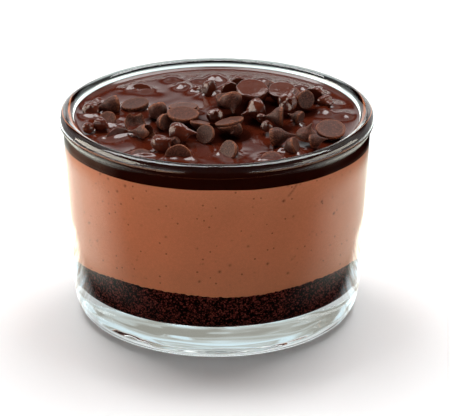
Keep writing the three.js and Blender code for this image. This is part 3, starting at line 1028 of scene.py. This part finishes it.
class MoussePotBuildStage(bpy.types.Operator):
    """Sets a pale floor, soft lights and the camera"""

    bl_idname = "mousse_pot.build_stage"
    bl_label = "Stage"

    def execute(self, context):
        stage = context.scene.mousse_pot_stage
        over, strips, gloss = stage.overhead, stage.beside, stage.gloss
        self.floor(stage)
        self.surround(context.scene, stage)
        self.softbox("left overhead", (-0.350, 0.460, 1.187), (0.52, 0.74), over)
        self.softbox("right overhead", (0.330, 0.460, 1.187), (0.56, 0.74), over * 0.9)
        left = self.softbox("left gloss", (-0.60, 0.0, 0.35), (0.80, 0.38), gloss)
        right = self.softbox("right gloss", (0.60, 0.0, 0.32), (0.70, 0.26), gloss * 0.65)
        for light in (left, right):
            light.data.color = stage.gloss_colour
            light.visible_diffuse = light.visible_transmission = False
        self.softbox("left strip", (-0.49, -0.32, 0.085), (0.84, 0.08), strips * 0.86)
        self.softbox("right strip", (0.49, -0.30, 0.085), (0.84, 0.08), strips * 0.85)
        self.camera(context.scene)
        context.scene.view_settings.view_transform = "Standard"
        paths = context.scene.cycles
        paths.max_bounces, paths.glossy_bounces, paths.transmission_bounces = 20, 10, 16
        return {"FINISHED"}

    @staticmethod
    def camera(scene):
        """A long lens in front of the pot, looking down at it."""
        lens = bpy.data.cameras.new("camera")
        lens.lens, lens.sensor_width = 203.1, 36.0
        lens.clip_start, lens.clip_end = 0.05, 20.0
        camera = bpy.data.objects.new("camera", lens)
        camera.location = (0.0, -0.6027, 0.2806)
        camera.rotation_euler = (math.radians(67.104), 0.0, math.radians(-0.197))
        scene.collection.objects.link(camera)
        scene.camera = camera

    @staticmethod
    def floor(stage):
        """A plain square floor, a hair below the foot. To the pot it is uneven, as under cards:
        its light is a sum of a streaky patch under the foot, cards beside it, warmer cards
        further out to both sides, and a bright floor far behind. Each is a product of smooth
        steps over the distance from the axis, over the side, and over the way to the back."""
        finish = new_finish("pale floor")
        x, y = finish.part(finish.place, "X"), finish.part(finish.place, "Y")
        away = (x * x + y * y) ** 0.5
        flat = finish.stretch(finish.place, (0.3, 1.6, 1.0))
        streaks = finish.noise(9.0, 3.0, 0.6, flat).between(0.35, 0.65)
        foot = 1.0 - (away - y.between(-20.0, 40.0) * 24.0).between(42.0, 54.0)
        foot = foot * (0.36 + streaks * 0.62) * y.between(-35.0, -8.0)
        foot = foot * (1.0 + (x / away).size().between(0.60, 0.85) * y.between(-20.0, 10.0) * 2.4)
        left, right = (-1.0 * x / away).between(0.30, 0.60), (x / away).between(0.30, 0.60)
        near = left * (1.0 - away.between(108.0, 138.0))
        near = near + right * (0.75 - away.between(106.0, 128.0) * 0.75)
        cards = away.between(52.0, 72.0) * near * y.between(-55.0, 0.0) * stage.bounce
        outer = away.between(145.0, 185.0) * (1.0 - away.between(400.0, 500.0))
        outer = outer * (left * 5.0 + right * 3.0)
        far = y.between(105.0, 165.0) * 1.2 + away.between(300.0, 600.0) * (left + right) * 0.8
        cool = finish.mix(streaks, (1.0, 0.95, 0.84), (0.80, 0.94, 1.0))
        tint = finish.mix(cards.between(0.0, 0.4), cool, stage.card_colour)
        soft = finish.add("ShaderNodeLightPath", output="Is Diffuse Ray")
        warm = away.between(112.0, 132.0) * (1.0 - y.between(60.0, 100.0)) * (1.0 - soft * 0.7)
        tint = finish.mix(warm, tint, stage.outer_colour)
        strength = foot + cards + outer + far.least(1.2)
        pale = finish.add("ShaderNodeBsdfDiffuse", None, {"Color": rgba(stage.floor_colour)})
        glow = finish.add("ShaderNodeEmission", None, {"Color": tint, "Strength": strength})
        seen = finish.add("ShaderNodeLightPath", output="Is Camera Ray")
        finish.end(finish.add("ShaderNodeMixShader", None, {0: seen, 1: glow, 2: pale}))
        half, height = 3000.0, -0.1
        corners = np.array([(-1, -1, 0), (1, -1, 0), (1, 1, 0), (-1, 1, 0)]) * half
        corners[:, 2] = height
        plane = corners, np.zeros((0, 3), int), np.array([[0, 1, 2, 3]])
        make_piece("floor", [plane], finish.material)

    @staticmethod
    def surround(scene, stage):
        """A studio with pale walls to the left, where they are brighter, and to the right, a pale
        foot of the wall behind, and a streaky paler strip high up there. The rest is dim. Each is
        a product of smooth steps over the direction in which a point of the studio lies."""
        studio = Finish(bpy.data.worlds.new("studio"), "Generated", 1.0)
        side, back, up = (studio.part(studio.place, which) for which in "XYZ")
        level = (side * side + back * back) ** 0.5
        beside = (side / level).size().between(0.25, 0.80) * (1.0 - up.between(0.40, 0.70))
        low = 1.15 - up.between(0.16, 0.24) * 0.25 - up.between(0.342, 0.372) * 0.93
        low = back.between(0.2, 0.6) * low
        high = back.between(0.1, 0.4) * up.between(0.46, 0.56) * (1.0 - up.between(0.75, 0.90))
        walls = (1.0 - side.between(-0.3, 0.3) * 0.12) * stage.walls
        ambient = 0.06 - back.between(-0.2, 0.4) * 0.04
        flat = studio.stretch(studio.place, (1.0, 1.0, 7.0))
        streaks = studio.noise(0.35, 3.0, 0.6, flat)
        light = ambient + beside * walls + (1.0 - beside) * (low + high * (0.1 + streaks * 0.85))
        patches = studio.mix(streaks.between(0.4, 0.6), (1.0, 0.96, 0.82), (0.90, 0.98, 1.0))
        shade = studio.mix(high, (1.0, 1.0, 1.0), patches)
        inputs = {"Color": shade, "Strength": light * stage.studio}
        shader = studio.add("ShaderNodeBackground", None, inputs)
        scene.world = studio.end(shader, "ShaderNodeOutputWorld")

    @staticmethod
    def softbox(name, place, size, brightness):
        """A rectangular light aimed at the middle of the pot. Its power is its brightness times
        its area times pi."""
        lamp = bpy.data.lights.new(name, "AREA")
        lamp.shape, lamp.size, lamp.size_y = "RECTANGLE", size[0], size[1]
        lamp.energy = brightness * math.pi * size[0] * size[1]
        light = bpy.data.objects.new(name, lamp)
        light.location = place
        aim = Vector((0, 0, 0.03)) - Vector(place)
        light.rotation_euler = aim.to_track_quat("-Z", "Y").to_euler()
        bpy.context.scene.collection.objects.link(light)
        return light


BUILDERS = (
    MoussePotBuildGlass,
    MoussePotBuildCrumb,
    MoussePotBuildMousse,
    MoussePotBuildSauce,
    MoussePotBuildChips,
    MoussePotBuildStage,
)
SETTINGS = {
    "mousse_pot_glass": PotSettings,
    "mousse_pot_layers": LayerSettings,
    "mousse_pot_sauce": SauceSettings,
    "mousse_pot_stage": StageSettings,
}


class MoussePotPanel(bpy.types.Panel):
    """Lists the settings and the pieces in the order they are built"""

    bl_idname = "VIEW3D_PT_mousse_pot"
    bl_label = "Mousse pot"
    bl_space_type = "VIEW_3D"
    bl_region_type = "UI"
    bl_category = "Dessert"

    def draw(self, context):
        for name, group in SETTINGS.items():
            column = self.layout.column(heading=group.__doc__)
            for key in group.__annotations__:
                column.prop(getattr(context.scene, name), key)
        for builder in BUILDERS:
            self.layout.operator(builder.bl_idname)


def register():
    for group in (*SETTINGS.values(), *BUILDERS, MoussePotPanel):
        bpy.utils.register_class(group)
    for name, group in SETTINGS.items():
        setattr(bpy.types.Scene, name, bpy.props.PointerProperty(type=group))


def unregister():
    for name in SETTINGS:
        delattr(bpy.types.Scene, name)
    for group in reversed((*SETTINGS.values(), *BUILDERS, MoussePotPanel)):
        bpy.utils.unregister_class(group)


def main():
    register()
    for builder in BUILDERS:
        group, name = builder.bl_idname.split(".")
        getattr(getattr(bpy.ops, group), name)()


if __name__ == "__main__":
    main()
